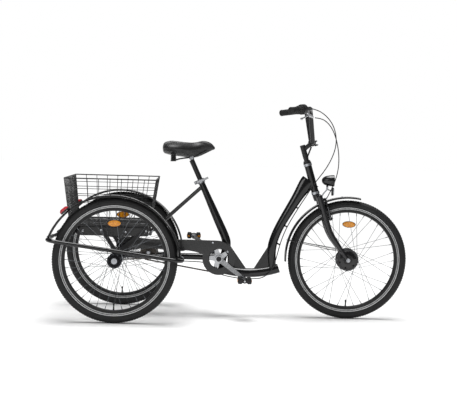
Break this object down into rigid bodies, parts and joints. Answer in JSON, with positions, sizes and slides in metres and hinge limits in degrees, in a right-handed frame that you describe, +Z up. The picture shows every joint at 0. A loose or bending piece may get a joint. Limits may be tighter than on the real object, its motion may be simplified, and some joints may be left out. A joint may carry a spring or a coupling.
{
  "type": "adult tricycle",
  "caption": "Low step-through adult tricycle with a wire luggage basket between the rear wheels, enclosed chain drive, steered front wheel with mudguard, lamp and rim brake.",
  "frame": {"origin": "on the ground under the middle of the tricycle's length and width", "axes": "+X forward, +Y to the rider's left, +Z up"},
  "size_m": [1.782, 0.789, 1.0724],
  "materials": {
    "gloss_black": "gloss",
    "satin_black": "satin",
    "fork_black": "satin",
    "rim_black": "satin with a brushed brake track",
    "tyre": "matt rubber",
    "steel": "bright zinc plate",
    "alloy": "satin",
    "chain_steel": "oiled",
    "black_plastic": "matt",
    "gloss_plastic": "gloss",
    "rubber": "matt",
    "saddle_skin": "matt synthetic leather",
    "red_lens": "clear red",
    "clear_lens": "clear",
    "white_reflector": "prismatic",
    "wire_black": "satin powder coat"
  },
  "bodies": {
    "frame": {"main_frame": "gloss_black", "rear_stays": "gloss_black", "seat_strut": "gloss_black", "bearing_cups": "steel", "carrier_frame": "gloss_black", "axle_hangers": "satin_black", "axle_bearings": "steel", "guard_loop_left": "gloss_black", "guard_loop_right": "gloss_black", "rear_mudguards": "gloss_black", "tail_lights": "red_lens", "basket": "wire_black", "chain_case": "gloss_plastic", "chain_front": "chain_steel", "chain_rear": "chain_steel", "gear_hub_axle": "steel", "gear_cable": "black_plastic", "seat_clamp": "alloy"},
    "fork": {"fork": "fork_black", "headset_nuts": "satin_black", "front_axle": "steel", "front_mudguard": "gloss_black", "lamp_bracket": "steel", "front_reflector": "white_reflector", "brake_cable": "black_plastic"},
    "front_wheel": {"tyre_front": "tyre", "rim_front": "rim_black", "spokes_front": "steel", "hub_front": "gloss_plastic"},
    "rear_axle": {"rear_axle": "steel", "axle_sprocket": "chain_steel", "hub_right": "alloy", "rim_right": "rim_black", "spokes_right": "steel", "tyre_right": "tyre"},
    "left_wheel": {"hub_left": "alloy", "rim_left": "rim_black", "spokes_left": "steel", "tyre_left": "tyre"},
    "crankset": {"cranks": "alloy", "chainring": "alloy"},
    "pedal_right": {"pedal_right": "black_plastic"},
    "pedal_left": {"pedal_left": "black_plastic"},
    "hub_driver": {"hub_driver": "chain_steel"},
    "gear_hub": {"gear_hub": "alloy"},
    "stem": {"stem": "satin_black"},
    "handlebar": {"handlebar": "satin_black", "grips": "rubber", "lever_bracket": "alloy", "shifter_housing": "black_plastic"},
    "brake_lever": {"brake_lever": "alloy"},
    "shifter_twist": {"shifter_twist": "rubber"},
    "brake_arm_right": {"brake_arm_right": "satin_black"},
    "brake_arm_left": {"brake_arm_left": "satin_black"},
    "headlamp": {"headlamp": "gloss_plastic", "headlamp_lens": "clear_lens"},
    "seatpost": {"seatpost": "satin_black"},
    "saddle": {"saddle_pad": "saddle_skin", "saddle_frame": "steel"},
    "seat_lever": {"seat_lever": "alloy"}
  },
  "joints": [
    {"name": "steering", "type": "hinge", "parent": "frame", "child": "fork", "pos_m": [0.4185, 0, 0.64], "axis": [-0.2924, 0, 0.9563], "range_deg": [-50, 50], "deforming": ["gear_cable"]},
    {"name": "front_wheel_spin", "type": "hinge", "parent": "fork", "child": "front_wheel", "pos_m": [0.5905, 0, 0.3005], "axis": [0, 1, 0], "continuous": true},
    {"name": "rear_axle_spin", "type": "hinge", "parent": "frame", "child": "rear_axle", "pos_m": [-0.5615, 0, 0.3005], "axis": [0, 1, 0], "continuous": true},
    {"name": "left_wheel_spin", "type": "hinge", "parent": "frame", "child": "left_wheel", "pos_m": [-0.5615, 0.325, 0.3005], "axis": [0, 1, 0], "continuous": true},
    {"name": "crank_spin", "type": "hinge", "parent": "frame", "child": "crankset", "pos_m": [-0.0595, 0, 0.295], "axis": [0, 1, 0], "continuous": true},
    {"name": "right_pedal_spin", "type": "hinge", "parent": "crankset", "child": "pedal_right", "pos_m": [0.06828, -0.149, 0.19871], "axis": [0, 1, 0], "continuous": true},
    {"name": "left_pedal_spin", "type": "hinge", "parent": "crankset", "child": "pedal_left", "pos_m": [-0.18728, 0.149, 0.39129], "axis": [0, 1, 0], "continuous": true},
    {"name": "hub_driver_spin", "type": "hinge", "parent": "frame", "child": "hub_driver", "pos_m": [-0.4115, -0.048, 0.318], "axis": [0, 1, 0], "continuous": true},
    {"name": "gear_hub_spin", "type": "hinge", "parent": "frame", "child": "gear_hub", "pos_m": [-0.4115, 0, 0.318], "axis": [0, 1, 0], "continuous": true},
    {"name": "stem_height", "type": "slide", "parent": "fork", "child": "stem", "axis": [-0.2924, 0, 0.9563], "range_m": [-0.005, 0.05], "deforming": ["gear_cable", "brake_cable"]},
    {"name": "handlebar_tilt", "type": "hinge", "parent": "stem", "child": "handlebar", "pos_m": [0.39556, 0, 0.88604], "axis": [0, 1, 0], "range_deg": [-20, 20], "deforming": ["gear_cable", "brake_cable"]},
    {"name": "brake_lever_pull", "type": "hinge", "parent": "handlebar", "child": "brake_lever", "pos_m": [0.3533, -0.20244, 1.02064], "axis": [-0.7731, 0.6342, 0], "range_deg": [0, 12], "stiffness_Nm_per_rad": 0.6, "springref_deg": -17.19, "deforming": ["brake_cable"]},
    {"name": "right_brake_arm", "type": "hinge", "parent": "fork", "child": "brake_arm_right", "pos_m": [0.4987, -0.041, 0.50766], "axis": [0.9563, 0, 0.2924], "range_deg": [-5, 0.5], "deforming": ["brake_cable"]},
    {"name": "left_brake_arm", "type": "hinge", "parent": "fork", "child": "brake_arm_left", "pos_m": [0.4987, 0.041, 0.50766], "axis": [0.9563, 0, 0.2924], "range_deg": [-0.5, 5]},
    {"name": "gear_twist", "type": "hinge", "parent": "handlebar", "child": "shifter_twist", "pos_m": [0.30463, -0.26176, 1.04415], "axis": [0.632, 0.7704, 0.0843], "range_deg": [-45, 45]},
    {"name": "headlamp_tilt", "type": "hinge", "parent": "fork", "child": "headlamp", "pos_m": [0.4795, 0, 0.661], "axis": [0, 1, 0], "range_deg": [-10, 6]},
    {"name": "seat_height", "type": "slide", "parent": "frame", "child": "seatpost", "axis": [-0.4226, 0, 0.9063], "range_m": [-0.07, 0.06]},
    {"name": "saddle_tilt", "type": "hinge", "parent": "seatpost", "child": "saddle", "pos_m": [-0.20799, 0, 0.796], "axis": [0, 1, 0], "range_deg": [-8, 8]},
    {"name": "seat_lever_swing", "type": "hinge", "parent": "frame", "child": "seat_lever", "pos_m": [-0.18428, -0.025, 0.66896], "axis": [0.4226, 0, -0.9063], "range_deg": [0, 150]}
  ],
  "couplings": [
    {"joint": "hub_driver_spin", "follows": "crank_spin", "ratio": 1.8947},
    {"joint": "gear_hub_spin", "follows": "rear_axle_spin", "ratio": 0.8},
    {"joint": "right_brake_arm", "follows": "brake_lever_pull", "ratio": -0.34},
    {"joint": "left_brake_arm", "follows": "brake_lever_pull", "ratio": 0.34}
  ]
}
